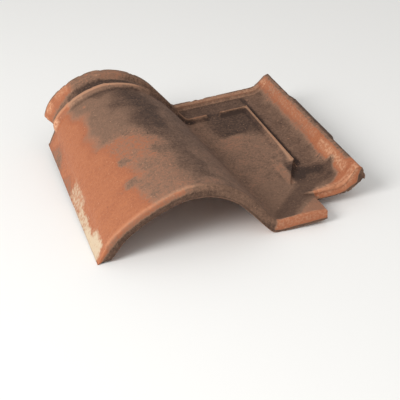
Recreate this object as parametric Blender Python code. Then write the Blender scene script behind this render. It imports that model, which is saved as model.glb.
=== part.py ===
"""Interlocking clay roof tile, one pressed and fired piece, lying at rest on a flat surface.

The section is drawn in the tile's own frame, in millimetres: X from the left foot of the barrel to the right edge,
Y from the nose (the lower end on a roof) to the head, Z up from the underside of the pan at the nose. The finished
solid is then seated on its left nose corner, the foot of the barrel at the nose and the nib, with its origin at the
middle of its bounding box's underside and +Z up. The nose faces -Y.
"""

import math

import bmesh
import bpy
import numpy as np
from mathutils import Matrix, Vector

MM = 0.001

# Overall sizes
LENGTH = 310.0
WIDTH = 310.0
BARREL_RISE = 81.5
PAN_TOP = 14.8
LEG_RISE = 17.8

# Barrel: the left foot line is straight, and the crown and the right flank drift left towards the head
CROWN_AT_NOSE = 100.5
CROWN_AT_HEAD = 76.4
SKIRT_RUN = 10.5
SKIRT_RISE = 18.0
ROUNDNESS_AT_NOSE = 1.34
ROUNDNESS_AT_HEAD = 1.8
INNER_ROUNDNESS = 0.06
FLANK_RADIUS = 83.0
FLANK_ANGLE = math.radians(54.3)
FOOT_FILLET = 11.0
INNER_FILLET = 12.0

# Walls
BODY_WALL = 13.5
NOSE_WALL = 16.6
LEG_FOOT = 15.8
PAN_WALL = 13.4
NOSE_BAND = 14.0
NOSE_FADE = 20.0
NOSE_ROUND = 5.0
EDGE_ROUND = 2.6

# Laps: the corner cut out beside the nose and the one cut out at the head of the left leg have the same length
HEAD_LAP = 36.4
NOTCH_WIDTH = 62.0

# Head ribs and the groove between them
HEAD_RIB_HEIGHT = 5.6
HEAD_RIB_FOOT = 21.0
HEAD_RIB_CREST = 8.0
PAN_RIB_HEIGHT = 3.0
PAN_RIB_FOOT = 13.0
HEAD_ROUND = 2.4
SHOULDER_RIB_HEIGHT = 4.2
SHOULDER_RIB_WIDTH = 17.0
SHOULDER_RIB_CREST = 4.5
GROOVE_DEPTH = 1.4

# L-shaped rib on the pan, from the barrel's foot along the head, then down beside the side channel
RIB_INSET = 57.6
RIB_HEIGHT = 4.3
RIB_TOP = 2.4
RIB_FLANK = 2.6
RIB_FROM_HEAD = 54.0
RIB_GAP_AT = 44.0
RIB_GAP = 11.0
RIB_GAP_FLANK = 2.8

# Raised wedge beside the rib's free end, cut off on the slant from the pan to the channel
CUT_NEAR = 61.0
CUT_FAR = 100.0
CUT_RUN = 2.2
WEDGE_RUN = 20.9
WEDGE_STEP = 1.7
WEDGE_FACE = 2.0
WEDGE_LENGTH = 75.0

# Side channel, roll and flange
CHANNEL_DEPTH = 2.3
ROLL_TOP = 31.4
ROLL_RADIUS = 7.6
ROLL_SLOPE = math.radians(52.0)
ROLL_COVE = 19.0
FLANGE_STEP = 3.4
FLANGE_FROM = 111.0
FLANGE_LENGTH = 119.0
FLANGE_RAMP = 7.0
FLANGE_UNDER = 11.5
FLANGE_HOOK = 19.0
FLANGE_HOOK_RUN = 12.0
NUB_TOP = 24.0
NUB_LENGTH = 4.5
LIP_HEIGHT = 2.6
LIP_CREST = 3.15
LIP_RUN = 9.0

# Nib under the pan that hooks over the batten
NIB_DROP = 12.0
NIB_WIDTH = 34.0
NIB_DEPTH = 13.0
NIB_TAPER = 2.8
NIB_FROM_RIB = 31.0
NIB_FROM_HEAD = 38.0

# Shares that blend one form into the next
RIB_BLEND = 0.75
RIB_KNEE_AT = 0.57
RIB_KNEE_HEIGHT = 0.76
SKIRT_ROUND = 0.6
ROLL_EDGE_ROUND = 0.35
ARC_MIDDLE = 1.0 - math.sqrt(0.5)

# Steps of the mesh on its round stretches, and the least run between two lines of the pan
SKIRT_STEPS = 2
FLANK_STEPS = 11
ARC_STEPS = 8
FILLET_STEPS = 3
COVE_STEPS = 4
ROLL_STEPS = 6
BODY_STEPS = 5
GROOVE_STEPS = 5
LINE_RUN = 0.8
SEATING_PASSES = 8

CLAY_COLOUR = (0.42, 0.19, 0.11, 1.0)
CLAY_ROUGHNESS = 0.85
SHARP_EDGE = math.radians(35.0)


def mix(a, b, share):
    return a + (b - a) * share


def clamp(value, low=0.0, high=1.0):
    return min(max(value, low), high)


def ease(value, start, run):
    """A smooth step from 0 at start to 1 at start + run."""
    share = clamp((value - start) / run)
    return share * share * (3.0 - 2.0 * share)


# The barrel's section


def crown_x(y):
    return mix(CROWN_AT_NOSE, CROWN_AT_HEAD, y / LENGTH)


def nose_share(y):
    """1 in the thick band along the nose, 0 in the body."""
    return 1.0 - ease(y, NOSE_BAND, NOSE_FADE)


def under_level(y):
    """Height of the pan's underside."""
    return mix(PAN_TOP - PAN_WALL, 0.0, nose_share(y))


def barrel_wall(y, nose_part):
    return mix(BODY_WALL, NOSE_WALL, nose_share(y) * nose_part)


def flank_normal():
    return math.sin(FLANK_ANGLE), math.cos(FLANK_ANGLE)


def foot_arc(start, level, radius, share):
    """A point on the fillet between the sloping flank through start and the level plane."""
    normal = flank_normal()
    along = (start[1] - level + radius * (normal[1] - 1.0)) / normal[0]
    centre = (start[0] + along * normal[1] + radius * normal[0], level + radius)
    angle = FLANK_ANGLE * (1.0 - share)
    return centre[0] - radius * math.sin(angle), centre[1] - radius * math.cos(angle)


def flank_end(y):
    """Where the right arc of the barrel runs out into its straight flank."""
    normal = flank_normal()
    return crown_x(y) + FLANK_RADIUS * normal[0], BARREL_RISE - FLANK_RADIUS * (1.0 - normal[1])


def crease_x(y):
    """Where the barrel's foot fillet meets the flat of the pan."""
    return foot_arc(flank_end(y), PAN_TOP, FOOT_FILLET, 1.0)[0]


def skirt(share, y):
    """The straight skirt along the left foot: outer point, outward normal and inner point."""
    slope = math.hypot(SKIRT_RUN, SKIRT_RISE)
    normal = (-SKIRT_RISE / slope, SKIRT_RUN / slope)
    wall = barrel_wall(y, 1.0)
    outer = (SKIRT_RUN * share, LEG_RISE + SKIRT_RISE * share)
    inner_top = (SKIRT_RUN - normal[0] * wall, LEG_RISE + SKIRT_RISE - normal[1] * wall)
    inner = (mix(LEG_FOOT, inner_top[0], share), mix(LEG_RISE, inner_top[1], share))
    return outer, normal, inner


def quarter(share, power):
    """A superellipse quarter: how far it still has to go across, and how far up it is."""
    angle = 0.5 * math.pi * share
    return max(math.cos(angle), 0.0) ** (2.0 / power), math.sin(angle) ** (2.0 / power)


def left_flank(share, y):
    """The left half of the barrel, a superellipse quarter from the skirt to the crown."""
    power = mix(ROUNDNESS_AT_NOSE, ROUNDNESS_AT_HEAD, y / LENGTH)
    half_width = crown_x(y) - SKIRT_RUN
    height = BARREL_RISE - LEG_RISE - SKIRT_RISE
    across, up = quarter(share, power)
    normal = Vector((-across ** (power - 1.0) / half_width, up ** (power - 1.0) / height)).normalized()
    outer = (crown_x(y) - half_width * across, LEG_RISE + SKIRT_RISE + height * up)
    start = skirt(1.0, y)[2]
    inner_height = BARREL_RISE - barrel_wall(y, 1.0) - start[1]
    across, up = quarter(share, power + INNER_ROUNDNESS)
    inner = (crown_x(y) - (crown_x(y) - start[0]) * across, start[1] + inner_height * up)
    return outer, normal, inner


def right_arc(share, y):
    """The right half of the barrel, a round arc from the crown to the flank."""
    angle = FLANK_ANGLE * share
    normal = (math.sin(angle), math.cos(angle))
    wall = barrel_wall(y, 1.0 - share)
    outer = (crown_x(y) + FLANK_RADIUS * normal[0], BARREL_RISE - FLANK_RADIUS * (1.0 - normal[1]))
    return outer, normal, (outer[0] - normal[0] * wall, outer[1] - normal[1] * wall)


def foot(share, y):
    """The fillet from the flank to the pan, outside and under the barrel."""
    start = flank_end(y)
    normal = flank_normal()
    wall = barrel_wall(y, 0.0)
    inner_start = (start[0] - normal[0] * wall, start[1] - normal[1] * wall)
    angle = FLANK_ANGLE * (1.0 - share)
    outer = foot_arc(start, PAN_TOP, FOOT_FILLET, share)
    inner = foot_arc(inner_start, under_level(y), INNER_FILLET, share)
    return outer, (math.sin(angle), math.cos(angle)), inner


BARREL_SECTION = {"skirt": skirt, "left": left_flank, "right": right_arc, "foot": foot}


# The side part's section


def flange_reach(y, z):
    """How far the outer face stands back from the full width: its middle stretch and the low nub reach it."""
    middle = ease(y, FLANGE_FROM, FLANGE_RAMP) * (1.0 - ease(y, FLANGE_FROM + FLANGE_LENGTH, FLANGE_RAMP))
    low = 1.0 - ease(z, NUB_TOP - FLANGE_RAMP, FLANGE_RAMP)
    nub = low * (1.0 - ease(y, HEAD_LAP + NUB_LENGTH, FLANGE_RAMP))
    return FLANGE_STEP * (1.0 - max(middle, nub))


def roll_profile():
    """The side part from the channel floor over the roll to the flange's lower edge: (x, z) points."""
    floor = PAN_TOP - CHANNEL_DEPTH
    centre = (WIDTH - ROLL_RADIUS, ROLL_TOP - ROLL_RADIUS)
    drop = centre[1] + ROLL_RADIUS * math.cos(ROLL_SLOPE) - floor - ROLL_COVE * (1.0 - math.cos(ROLL_SLOPE))
    slope_top = centre[0] - ROLL_RADIUS * math.sin(ROLL_SLOPE)
    cove_end = slope_top - drop / math.tan(ROLL_SLOPE)
    cove_x = cove_end - ROLL_COVE * math.sin(ROLL_SLOPE)
    points = []
    for step in range(COVE_STEPS + 1):
        angle = ROLL_SLOPE * step / COVE_STEPS
        points.append((cove_x + ROLL_COVE * math.sin(angle), floor + ROLL_COVE * (1.0 - math.cos(angle))))
    for step in range(ROLL_STEPS + 1):
        angle = mix(-ROLL_SLOPE, 0.5 * math.pi, step / ROLL_STEPS)
        points.append((centre[0] + ROLL_RADIUS * math.sin(angle), centre[1] + ROLL_RADIUS * math.cos(angle)))
    lowest = FLANGE_UNDER + EDGE_ROUND
    points.append((WIDTH, mix(centre[1], lowest, 0.5)))
    points.append((WIDTH, lowest))
    return points


def hook_under(x, y):
    """The underside of the side part: flat, then up under the flange."""
    return mix(under_level(y), FLANGE_UNDER, ease(x, WIDTH - FLANGE_HOOK, FLANGE_HOOK_RUN))


# The grid of columns across the tile and rows from nose to head


def rib_x():
    return WIDTH - RIB_INSET


def pan_lines():
    """The x of each line across the pan, from the crease to the channel, by name."""
    rib = rib_x()
    gap = rib - RIB_GAP_AT
    nib = rib - NIB_FROM_RIB
    wedge = rib - WEDGE_RUN
    half_gap = 0.5 * RIB_GAP
    half_rib = 0.5 * RIB_TOP
    return {
        "nib left foot": nib - NIB_WIDTH - NIB_TAPER, "nib left": nib - NIB_WIDTH,
        "gap left foot": gap - half_gap - RIB_GAP_FLANK, "gap left": gap - half_gap,
        "gap right": gap + half_gap, "gap right foot": gap + half_gap + RIB_GAP_FLANK,
        "nib right": nib, "nib right foot": nib + NIB_TAPER,
        "wedge foot": wedge - 0.5 * WEDGE_FACE, "wedge top": wedge + 0.5 * WEDGE_FACE,
        "wedge middle": mix(wedge, rib, 0.5),
        "notch": WIDTH - NOTCH_WIDTH,
        "rib left": rib - half_rib, "rib right": rib + half_rib, "rib foot": rib + half_rib + RIB_FLANK,
    }


def columns():
    """Every column of the grid, left to right, as (kind, value)."""
    found = [("skirt", step / SKIRT_STEPS) for step in range(SKIRT_STEPS + 1)]
    found += [("left", step / FLANK_STEPS) for step in range(1, FLANK_STEPS + 1)]
    found += [("right", step / ARC_STEPS) for step in range(1, ARC_STEPS + 1)]
    found += [("foot", step / FILLET_STEPS) for step in range(FILLET_STEPS + 1)]
    found += [("pan", name) for name in pan_lines()]
    found += [("roll", index) for index in range(len(roll_profile()))]
    return found


def row(barrel_y, pan_y=None, side_y=None, **relief):
    """One row of the grid: its y on the barrel, the pan and the side part, and the relief that it carries."""
    pan_y = barrel_y if pan_y is None else pan_y
    side_y = pan_y if side_y is None else side_y
    fields = dict(barrel_y=barrel_y, pan_y=pan_y, side_y=side_y, barrel=0.0, pan=0.0, side=0.0, lip=0.0,
                  head_rib=0.0, side_rib=0.0, wedge=0.0, nib=0.0, outside=0.0)
    fields.update(relief)
    return fields


def nose_rows():
    """The round front edge, the thick band behind it, and the front of the side part with its raised lip."""
    return [
        (row(0.0, barrel=-NOSE_ROUND, pan=-EDGE_ROUND), 1),
        (row(ARC_MIDDLE * NOSE_ROUND, ARC_MIDDLE * EDGE_ROUND,
             barrel=-ARC_MIDDLE * NOSE_ROUND, pan=-ARC_MIDDLE * EDGE_ROUND), 1),
        (row(NOSE_ROUND, EDGE_ROUND), 1),
        (row(NOSE_BAND), 2),
        (row(HEAD_LAP, lip=-EDGE_ROUND), 1),
        (row(HEAD_LAP + ARC_MIDDLE * EDGE_ROUND, lip=-ARC_MIDDLE * EDGE_ROUND), 1),
        (row(HEAD_LAP + LIP_CREST, lip=LIP_HEIGHT), 1),
        (row(HEAD_LAP + LIP_RUN), 2),
    ]


def body_rows():
    """The slanting front of the wedge and the side rib, and the plain stretch up to the shoulder."""
    return [
        (row(CUT_NEAR, CUT_NEAR, CUT_FAR), 1),
        (row(CUT_NEAR + CUT_RUN, CUT_NEAR + CUT_RUN, CUT_FAR + CUT_RUN, side_rib=1.0, wedge=1.0), BODY_STEPS),
        (row(CUT_FAR + WEDGE_LENGTH, side_rib=1.0), BODY_STEPS - 1),
    ]


def shoulder_rows():
    """The rib across the barrel's shoulder, level with the L-shaped rib's branch on the pan."""
    back = LENGTH - HEAD_LAP
    front = back - SHOULDER_RIB_WIDTH
    crest_back = mix(front, back, 0.5) + 0.5 * SHOULDER_RIB_CREST
    branch = LENGTH - RIB_FROM_HEAD
    top_front = branch - 0.5 * RIB_TOP
    top_back = branch + 0.5 * RIB_TOP
    rib = dict(barrel=SHOULDER_RIB_HEIGHT, head_rib=1.0, side_rib=1.0)
    return [
        (row(front, top_front - RIB_FLANK, side_rib=1.0), 1),
        (row(crest_back - SHOULDER_RIB_CREST, top_front, **rib), 1),
        (row(crest_back, top_back, **rib), 1),
    ]


def groove_rows():
    """The groove on the barrel between the two head ribs, over the nib that is under the pan."""
    start = LENGTH - HEAD_LAP
    end = LENGTH - HEAD_RIB_FOOT
    nib_front = LENGTH - NIB_FROM_HEAD
    nib_back = nib_front + NIB_DEPTH
    branch_back = LENGTH - RIB_FROM_HEAD + 0.5 * RIB_TOP + RIB_FLANK
    pan_ys = [branch_back, nib_front - NIB_TAPER, nib_front, nib_back, nib_back + NIB_TAPER]
    found = []
    for index, pan_y in enumerate(pan_ys):
        nib = 1.0 if nib_front <= pan_y <= nib_back else 0.0
        y = mix(start, end, index / GROOVE_STEPS)
        found.append((row(y, pan_y, barrel=-GROOVE_DEPTH, outside=1.0, nib=nib), 1))
    return found


def head_rows():
    """The rib along the very end, low on the pan and high on the barrel, with its round edge."""
    foot_y = LENGTH - HEAD_RIB_FOOT
    pan_foot_y = LENGTH - PAN_RIB_FOOT
    crest_y = LENGTH - HEAD_RIB_CREST
    full = dict(barrel=HEAD_RIB_HEIGHT, pan=PAN_RIB_HEIGHT, side=PAN_RIB_HEIGHT)
    knee = {name: RIB_KNEE_HEIGHT * height for name, height in full.items()}
    end = {name: height - HEAD_ROUND for name, height in full.items()}
    return [
        (row(foot_y, pan_foot_y, barrel=-0.5 * GROOVE_DEPTH, outside=1.0), 1),
        (row(mix(foot_y, crest_y, RIB_KNEE_AT), mix(pan_foot_y, crest_y, RIB_KNEE_AT), **knee), 1),
        (row(crest_y, **full), 1),
        (row(LENGTH - HEAD_ROUND, **full), 1),
        (row(LENGTH, **end), 1),
    ]


def rows():
    """The rows from nose to head. The steps from one named row to the next are spread evenly."""
    anchors = nose_rows() + body_rows() + shoulder_rows() + groove_rows() + head_rows()
    found = []
    for (here, steps), (after, unused) in zip(anchors, anchors[1:]):
        for step in range(steps):
            found.append({name: mix(here[name], after[name], step / steps) for name in here})
    return found + [anchors[-1][0]]


def side_share(x):
    """0 on the pan, 1 from the rib outwards, and in between on the wedge."""
    return clamp((x - (rib_x() - WEDGE_RUN)) / WEDGE_RUN)


def pan_share(kind, value):
    """How much of a column on the barrel follows the pan's rows."""
    if kind == "right":
        return RIB_BLEND * math.sqrt(value)
    if kind == "foot":
        return mix(RIB_BLEND, 1.0, value)
    return 0.0


def pan_relief(name, x, here):
    """Height of the pan's ribs, wedge and channel above the flat of the pan."""
    on_rib = name in ("rib left", "rib right")
    beside_rib = name == "rib foot"
    in_gap = name in ("gap left", "gap right")
    head_rib = 0.0 if in_gap or beside_rib else here["head_rib"] * RIB_HEIGHT
    side_rib = here["side_rib"] * RIB_HEIGHT if on_rib else 0.0
    on_wedge = name in ("wedge top", "wedge middle", "notch")
    wedge = here["wedge"] * mix(WEDGE_STEP, RIB_HEIGHT, side_share(x)) if on_wedge else 0.0
    sunk = 0.0
    if beside_rib:
        sunk = CHANNEL_DEPTH
    elif side_rib == 0.0:
        sunk = max(here["outside"], side_share(x)) * (1.0 - here["side_rib"]) * CHANNEL_DEPTH
    return max(head_rib, side_rib, wedge) - sunk


def barrel_point(kind, value, here):
    """The top point and the underside point of one column of the barrel in one row."""
    pan = pan_share(kind, value)
    y = mix(here["barrel_y"], here["pan_y"], pan)
    outer, normal, inner = BARREL_SECTION[kind](value, y)
    pan_height = here["pan"] + here["head_rib"] * RIB_HEIGHT - here["outside"] * CHANNEL_DEPTH
    height = mix(here["barrel"], pan_height, pan)
    if kind == "skirt":
        height = SKIRT_ROUND * value * height if here["barrel_y"] <= NOSE_ROUND else 0.0
    return (outer[0] + normal[0] * height, y, outer[1] + normal[1] * height), (inner[0], y, inner[1])


def pan_point(name, here):
    """The same for one line of the pan. Where the barrel's foot reaches a line, the line moves aside."""
    lines = pan_lines()
    side = side_share(lines[name])
    y = mix(here["pan_y"], here["side_y"], side)
    x = max(lines[name], crease_x(y) + LINE_RUN * (list(lines).index(name) + 1))
    edge = mix(here["pan"], here["side"], side) + side * here["lip"]
    z = PAN_TOP + pan_relief(name, x, here) + edge
    on_nib = name in ("nib left", "nib right") or lines["nib left"] < x < lines["nib right"]
    drop = here["nib"] * NIB_DROP if on_nib else 0.0
    return (x, y, z), (x, y, under_level(y) - drop)


def roll_point(index, here):
    """The same for one point of the side part's section. Its underside points are spread evenly."""
    profile = roll_profile()
    x, z = profile[index]
    y = here["side_y"]
    crest = WIDTH - ROLL_RADIUS
    narrowed = 1.0 - flange_reach(y, z) / ROLL_RADIUS
    if x > crest:
        x = mix(crest, x, narrowed)
    low = 1.0 - ease(z, PAN_TOP, ROLL_TOP - PAN_TOP)
    relief = low * here["side"] * (1.0 + CHANNEL_DEPTH / PAN_RIB_HEIGHT)
    relief += mix(ROLL_EDGE_ROUND * min(here["lip"], 0.0), here["lip"], low)
    if x >= crest and z < ROLL_TOP - ROLL_RADIUS:
        relief = 0.0
    edge = mix(crest, WIDTH, narrowed) - EDGE_ROUND
    under_x = mix(profile[0][0], edge, index / (len(profile) - 1))
    return (x, y, z + relief), (under_x, y, hook_under(under_x, y))


def grid_point(kind, value, here):
    if kind == "pan":
        return pan_point(value, here)
    if kind == "roll":
        return roll_point(value, here)
    return barrel_point(kind, value, here)


def tile_grid():
    """Top and underside points, and which cells are clay: the two lap corners are cut out."""
    across = columns()
    along = rows()
    points = np.array([[grid_point(kind, value, here) for kind, value in across] for here in along])
    top, under = points[:, :, 0], points[:, :, 1]
    clay = np.ones((len(along) - 1, len(across) - 1), bool)
    notch = across.index(("pan", "notch"))
    leg = across.index(("skirt", 1.0))
    for index, (here, after) in enumerate(zip(along, along[1:])):
        if after["side_y"] <= HEAD_LAP:
            clay[index, notch:] = False
        if here["barrel_y"] >= LENGTH - HEAD_LAP:
            clay[index, :leg] = False
    return top, under, clay


# The solid


def closed_mesh(top, under, clay):
    """A closed mesh of the clay cells, with walls wherever a cell has no neighbour."""
    mesh = bmesh.new()
    made = {}

    def corner(side, i, j):
        if (side, i, j) not in made:
            made[side, i, j] = mesh.verts.new((top if side else under)[i, j])
        return made[side, i, j]

    count_i, count_j = clay.shape
    for i in range(count_i):
        for j in range(count_j):
            if not clay[i, j]:
                continue
            ring = [(i, j), (i, j + 1), (i + 1, j + 1), (i + 1, j)]
            mesh.faces.new([corner(1, *place) for place in ring])
            mesh.faces.new([corner(0, *place) for place in reversed(ring)])
            beside = [(i - 1, j), (i, j + 1), (i + 1, j), (i, j - 1)]
            for (a, b), (row_index, column_index) in zip(zip(ring, ring[1:] + ring[:1]), beside):
                inside = 0 <= row_index < count_i and 0 <= column_index < count_j
                if not (inside and clay[row_index, column_index]):
                    mesh.faces.new([corner(0, *a), corner(0, *b), corner(1, *b), corner(1, *a)])
    return mesh


def seated(mesh, top, under):
    """Turn the tile to lie on its left nose corner, its foot and its nib, and set the origin below its middle."""
    across = columns()
    foot_columns = [j for j, (kind, value) in enumerate(across) if kind == "foot"]
    nib_lines = [j for j, (kind, value) in enumerate(across) if kind == "pan" and value.startswith("nib")]
    nib_points = [Vector(under[i, j]) for i, here in enumerate(rows()) if here["nib"] > 0.5 for j in nib_lines]
    groups = [[Vector(top[0, 0])], [Vector(under[0, j]) for j in foot_columns], nib_points]
    up = Vector((0.0, 0.0, 1.0))
    for unused in range(SEATING_PASSES):
        a, b, c = [min(group, key=lambda point: point.dot(up)) for group in groups]
        up = (b - a).cross(c - a).normalized()
    turn = up.rotation_difference(Vector((0.0, 0.0, 1.0))).to_matrix().to_4x4()
    mesh.transform(turn)
    low = [min(vertex.co[k] for vertex in mesh.verts) for k in range(3)]
    high = [max(vertex.co[k] for vertex in mesh.verts) for k in range(3)]
    middle = Vector((mix(low[0], high[0], 0.5), mix(low[1], high[1], 0.5), low[2]))
    mesh.transform(Matrix.Scale(MM, 4) @ Matrix.Translation(-middle))


def clay_material():
    material = bpy.data.materials.new("fired clay")
    material.use_nodes = True
    shader = material.node_tree.nodes["Principled BSDF"]
    shader.inputs["Base Color"].default_value = CLAY_COLOUR
    shader.inputs["Roughness"].default_value = CLAY_ROUGHNESS
    shader.inputs["Metallic"].default_value = 0.0
    return material


def build_tile():
    top, under, clay = tile_grid()
    mesh = closed_mesh(top, under, clay)
    bmesh.ops.recalc_face_normals(mesh, faces=mesh.faces[:])
    seated(mesh, top, under)
    bmesh.ops.triangulate(mesh, faces=mesh.faces[:])
    data = bpy.data.meshes.new("roof_tile")
    mesh.to_mesh(data)
    mesh.free()
    data.materials.append(clay_material())
    data.shade_smooth()
    data.set_sharp_from_angle(angle=SHARP_EDGE)
    tile = bpy.data.objects.new("roof_tile", data)
    bpy.context.scene.collection.objects.link(tile)


for old in list(bpy.data.objects):
    bpy.data.objects.remove(old, do_unlink=True)
build_tile()
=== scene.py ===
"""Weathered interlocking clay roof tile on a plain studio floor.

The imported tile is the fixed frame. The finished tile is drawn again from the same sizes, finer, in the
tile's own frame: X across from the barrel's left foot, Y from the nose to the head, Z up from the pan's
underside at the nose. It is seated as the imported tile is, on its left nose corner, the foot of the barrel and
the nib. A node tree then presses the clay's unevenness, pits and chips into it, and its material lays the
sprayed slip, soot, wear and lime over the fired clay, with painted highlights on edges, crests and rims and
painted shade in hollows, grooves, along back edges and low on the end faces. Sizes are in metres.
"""

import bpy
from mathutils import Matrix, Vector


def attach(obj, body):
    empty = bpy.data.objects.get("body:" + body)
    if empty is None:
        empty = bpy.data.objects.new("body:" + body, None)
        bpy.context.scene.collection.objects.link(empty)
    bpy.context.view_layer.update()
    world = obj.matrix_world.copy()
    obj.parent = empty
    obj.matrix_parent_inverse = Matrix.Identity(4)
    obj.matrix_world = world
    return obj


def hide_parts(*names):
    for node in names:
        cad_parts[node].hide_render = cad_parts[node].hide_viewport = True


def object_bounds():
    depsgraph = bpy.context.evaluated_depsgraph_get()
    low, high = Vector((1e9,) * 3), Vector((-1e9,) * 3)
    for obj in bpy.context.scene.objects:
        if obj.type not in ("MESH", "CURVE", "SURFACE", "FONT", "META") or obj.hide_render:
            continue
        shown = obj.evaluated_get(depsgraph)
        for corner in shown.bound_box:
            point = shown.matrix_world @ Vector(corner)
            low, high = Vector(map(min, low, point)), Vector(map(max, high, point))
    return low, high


bl_info = {
    "name": "Clay Roof Tile",
    "version": (1, 0, 0),
    "blender": (4, 5, 0),
    "location": "3D View > Sidebar > Roof Tile",
    "description": "Makes a weathered interlocking clay roof tile and the plain studio that it lies in",
    "category": "Add Mesh",
}

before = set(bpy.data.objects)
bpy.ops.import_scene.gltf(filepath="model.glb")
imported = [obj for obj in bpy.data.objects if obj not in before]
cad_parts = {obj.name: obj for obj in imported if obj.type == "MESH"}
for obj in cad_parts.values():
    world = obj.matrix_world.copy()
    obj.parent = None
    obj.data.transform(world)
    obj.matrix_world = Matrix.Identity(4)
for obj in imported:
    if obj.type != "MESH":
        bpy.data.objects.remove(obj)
CAD_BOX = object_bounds()

import math
from functools import partial

import bmesh
import bpy
import numpy as np
from bpy.props import FloatProperty, FloatVectorProperty, IntProperty, PointerProperty
from mathutils import Matrix, Vector

MM = 0.001
TILE_NODE = "roof_tile"

# The crown and the barrel's right flank drift left towards the head; the left foot line is straight
CROWN_AT_NOSE = 100.5 * MM
CROWN_AT_HEAD = 76.4 * MM
LEG_RISE = 17.8 * MM
SKIRT_RUN = 10.5 * MM
SKIRT_RISE = 18.0 * MM
ROUNDNESS_AT_NOSE = 1.34
ROUNDNESS_AT_HEAD = 1.8
INNER_ROUNDNESS = 0.06
FLANK_RADIUS = 83.0 * MM
FLANK_ANGLE = math.radians(54.3)
FOOT_FILLET = 11.0 * MM
INNER_FILLET = 12.0 * MM

# Walls and laps
LEG_FOOT = 15.8 * MM
PAN_WALL = 13.4 * MM
NOSE_BAND = 14.0 * MM
NOSE_FADE = 20.0 * MM
HEAD_LAP = 36.4 * MM
NOTCH_WIDTH = 62.0 * MM
LAP_EDGE = 2.4 * MM

# Head ribs
HEAD_RIB_FOOT = 21.0 * MM
HEAD_RIB_CREST = 8.0 * MM
PAN_RIB_HEIGHT = 3.0 * MM
PAN_RIB_FOOT = 13.0 * MM
HEAD_ROUND = 2.4 * MM
SHOULDER_RIB_WIDTH = 17.0 * MM
SHOULDER_RIB_CREST = 4.5 * MM
SHOULDER_FADE = 0.24

# L-shaped rib on the pan and the wedge beside its free end
RIB_INSET = 57.6 * MM
RIB_TOP = 2.4 * MM
RIB_FLANK = 2.6 * MM
RIB_FROM_HEAD = 54.0 * MM
RIB_GAP_AT = 44.0 * MM
RIB_GAP = 11.0 * MM
RIB_GAP_FLANK = 2.8 * MM
CUT_NEAR = 61.0 * MM
CUT_FAR = 100.0 * MM
CUT_RUN = 2.2 * MM
WEDGE_RUN = 20.9 * MM
WEDGE_STEP = 1.7 * MM
WEDGE_FACE = 2.0 * MM
WEDGE_LENGTH = 75.0 * MM

# Side channel, roll, flange and lip
ROLL_TOP = 31.4 * MM
ROLL_RADIUS = 7.6 * MM
ROLL_SLOPE = math.radians(52.0)
ROLL_COVE = 19.0 * MM
FLANGE_STEP = 3.4 * MM
FLANGE_FROM = 111.0 * MM
FLANGE_LENGTH = 119.0 * MM
FLANGE_RAMP = 7.0 * MM
FLANGE_UNDER = 11.5 * MM
FLANGE_HOOK = 19.0 * MM
FLANGE_HOOK_RUN = 12.0 * MM
NUB_TOP = 24.0 * MM
NUB_LENGTH = 4.5 * MM
NUB_ROUND = 5.0 * MM
LIP_CREST = 3.15 * MM
LIP_RUN = 9.0 * MM

# Nib under the pan
NIB_WIDTH = 34.0 * MM
NIB_DEPTH = 13.0 * MM
NIB_TAPER = 2.8 * MM
NIB_FROM_RIB = 31.0 * MM
NIB_FROM_HEAD = 38.0 * MM
NIB_EDGE = 3.0 * MM

# Shares that blend one form into the next
RIB_BLEND = 0.75
RIB_KNEE_AT = 0.57
RIB_KNEE_HEIGHT = 0.76
SKIRT_ROUND = 0.6
ROLL_EDGE_ROUND = 0.35
ARC_MIDDLE = 1.0 - math.sqrt(0.5)

# The cage: steps across each stretch, the columns that the underside shares, and the rings of the outer walls
SKIRT_SHARES = (0.0, 0.12, 0.4, 0.7, 1.0)
FLANK_STEPS = 14
ARC_STEPS = 12
FOOT_STEPS = 4
COVE_STEPS = 6
ROLL_STEPS = 8
WALL_LOW = 0.16
WALL_HIGH = 0.84
SLOPE_SHARES = (0.16, 0.4, 0.64, 0.88)
SHARED_EVERY = 3
SHARED_LINES = ("nib left foot", "nib left", "nib left inside", "gap middle", "nib right inside", "nib right",
                "nib right foot", "wedge near", "notch side", "notch", "rib foot", "channel far")
SEATING_PASSES = 8
FIT_PASSES = 3
FLAT_ROW = 130.0 * MM

# What the node tree presses into the clay, by its input's name: the property with its depth, then, for what
# lies everywhere, how many millimetres its marks are across and how detailed they are
CLAY_DEPTHS = {"Warp": "warp", "Unevenness": "unevenness", "Grain": "grain", "Pit Depth": "pits",
               "Chip Depth": "chips"}
CLAY_MARKS = (("Warp", 110.0, 1.0), ("Unevenness", 17.0, 2.0), ("Grain", 4.0, 2.0))
CHIP_SPACING = 7.0
PIT_SPACING = 15.0
SUBDIVISIONS = 2
BLUR_STEPS = 4

# Ranges, here and below: where a measure starts and ends to count, and what it gives at either end
LOOSE_CLAY = (0.52, 0.66, 0.0, 1.0)
EXPOSED_EDGE = (0.06 * MM, 0.20 * MM, 0.0, 1.0)
PIT_SIZE = (0.20, 0.10, 0.0, 1.0)

# The studio: the key light from the upper left, and the camera at the photograph's place, in metres, degrees
# and millimetres
KEY_PLACE = (-1.7, -0.9, 1.25)
KEY_AIM = (0.0, 0.0, 0.04)
CAMERA_PLACE = (-0.28704, -0.9101, 0.48188)
CAMERA_TURN = (61.627, 0.384, -18.678)
CAMERA_LENS = 82.683
CAMERA_SENSOR = 36.0
CAMERA_SHIFT = (-0.03219, 0.00128)
FLOOR_ROUGHNESS = 0.9


def mix(a, b, share):
    return a + (b - a) * share


def clamp(value, low=0.0, high=1.0):
    return min(max(value, low), high)


def ease(value, start, run):
    """A smooth step from 0 at start to 1 at start + run."""
    share = clamp((value - start) / run)
    return share * share * (3.0 - 2.0 * share)


def linear(text):
    """An sRGB hex colour as linear red, green, blue and alpha."""
    channels = [int(text[k:k + 2], 16) / 255.0 for k in (0, 2, 4)]
    return tuple(c / 12.92 if c <= 0.04045 else ((c + 0.055) / 1.055) ** 2.4 for c in channels) + (1.0,)


def size(name, text, default):
    return FloatProperty(name=name, description=text, default=default, min=0.0, unit="LENGTH", precision=4)


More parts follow.
